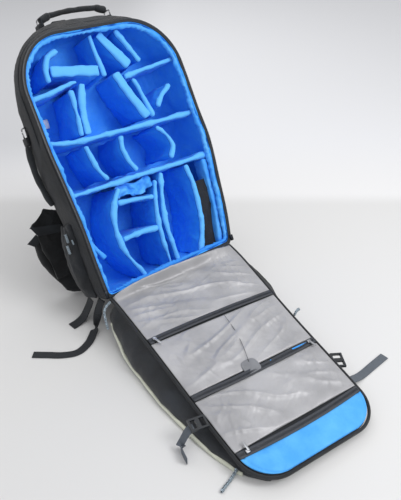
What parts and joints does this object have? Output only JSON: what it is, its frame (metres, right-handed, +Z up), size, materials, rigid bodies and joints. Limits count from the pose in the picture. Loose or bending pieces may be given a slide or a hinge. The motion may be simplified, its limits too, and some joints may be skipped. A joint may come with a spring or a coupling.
{
  "type": "camera backpack",
  "caption": "Padded camera backpack laid open: hard-walled body with a blue divided interior leaning back on its hip belt, zip-round lid with mesh pockets flat in front.",
  "frame": {"origin": "on the floor, under the middle of the bag's box measured without its cord pulls", "axes": "+Z up, +Y from the open lid towards the body's back, +X to the right as seen from the lid"},
  "size_m": [0.649, 1.0054, 0.6719],
  "materials": {
    "black_cloth": "matt woven polyester",
    "black_zip_tape": "woven zip tape with coil teeth",
    "blue_lining": "brushed nylon over foam",
    "pale_blue_lining": "brushed nylon over foam, lighter at the edges",
    "grey_mesh_cloth": "satin grey fine mesh",
    "black_webbing": "woven polyester webbing",
    "grey_webbing": "woven polyester webbing",
    "black_plastic": "moulded, fine grain",
    "gun_metal": "dark plated wire",
    "cord_blend": "braided cord, two tones"
  },
  "bodies": {
    "root": {"body_shell": "black_cloth", "padded_liner": "blue_lining", "rim_flange": "black_zip_tape", "lining_roll": "pale_blue_lining", "divider_top_left": "blue_lining", "divider_top_block": "blue_lining", "divider_top_centre": "blue_lining", "divider_slant_block": "blue_lining", "divider_slant_right": "blue_lining", "divider_shelf_right": "blue_lining", "divider_shelf_left": "blue_lining", "divider_panel_left": "blue_lining", "divider_post_left": "blue_lining", "divider_post_right": "blue_lining", "divider_lean_right": "blue_lining", "divider_flap_right": "blue_lining", "divider_row_upper": "blue_lining", "divider_curve_left": "blue_lining", "divider_curve_centre": "blue_lining", "divider_curve_right": "blue_lining", "divider_row_lower": "blue_lining", "divider_bay_left": "blue_lining", "divider_bay_centre": "blue_lining", "divider_bay_inner": "blue_lining", "divider_bay_right": "blue_lining", "divider_cross_upper": "blue_lining", "divider_cross_lower": "blue_lining", "lining_strip_left": "pale_blue_lining", "lining_strip_right": "pale_blue_lining", "back_panel": "black_cloth", "hip_belt": "black_cloth", "shoulder_strap_left": "black_cloth", "shoulder_strap_right": "black_cloth", "side_pocket_left": "black_cloth", "side_pocket_right": "black_cloth", "top_handle": "black_cloth", "handle_ring_left": "gun_metal", "handle_ring_right": "gun_metal", "side_handle": "black_cloth", "side_ring": "gun_metal", "lid_panel": "black_cloth", "lid_binding": "black_cloth", "mesh_pocket_hinge": "grey_mesh_cloth", "mesh_pocket_middle": "grey_mesh_cloth", "mesh_pocket_end": "grey_mesh_cloth", "lid_zip_hinge": "black_zip_tape", "lid_zip_middle": "black_zip_tape", "lid_zip_end": "black_zip_tape", "lid_end_pad": "pale_blue_lining", "lid_tab": "grey_webbing", "front_pocket": "black_cloth", "lid_buckle_left": "black_plastic", "lid_buckle_right": "black_plastic", "floor_strap_long": "black_webbing", "floor_strap_short": "black_webbing", "lid_strap_left": "grey_webbing", "lid_strap_right": "grey_webbing", "hinge_cord_pull": "cord_blend", "front_cord_pull": "cord_blend"}
  },
  "joints": []
}
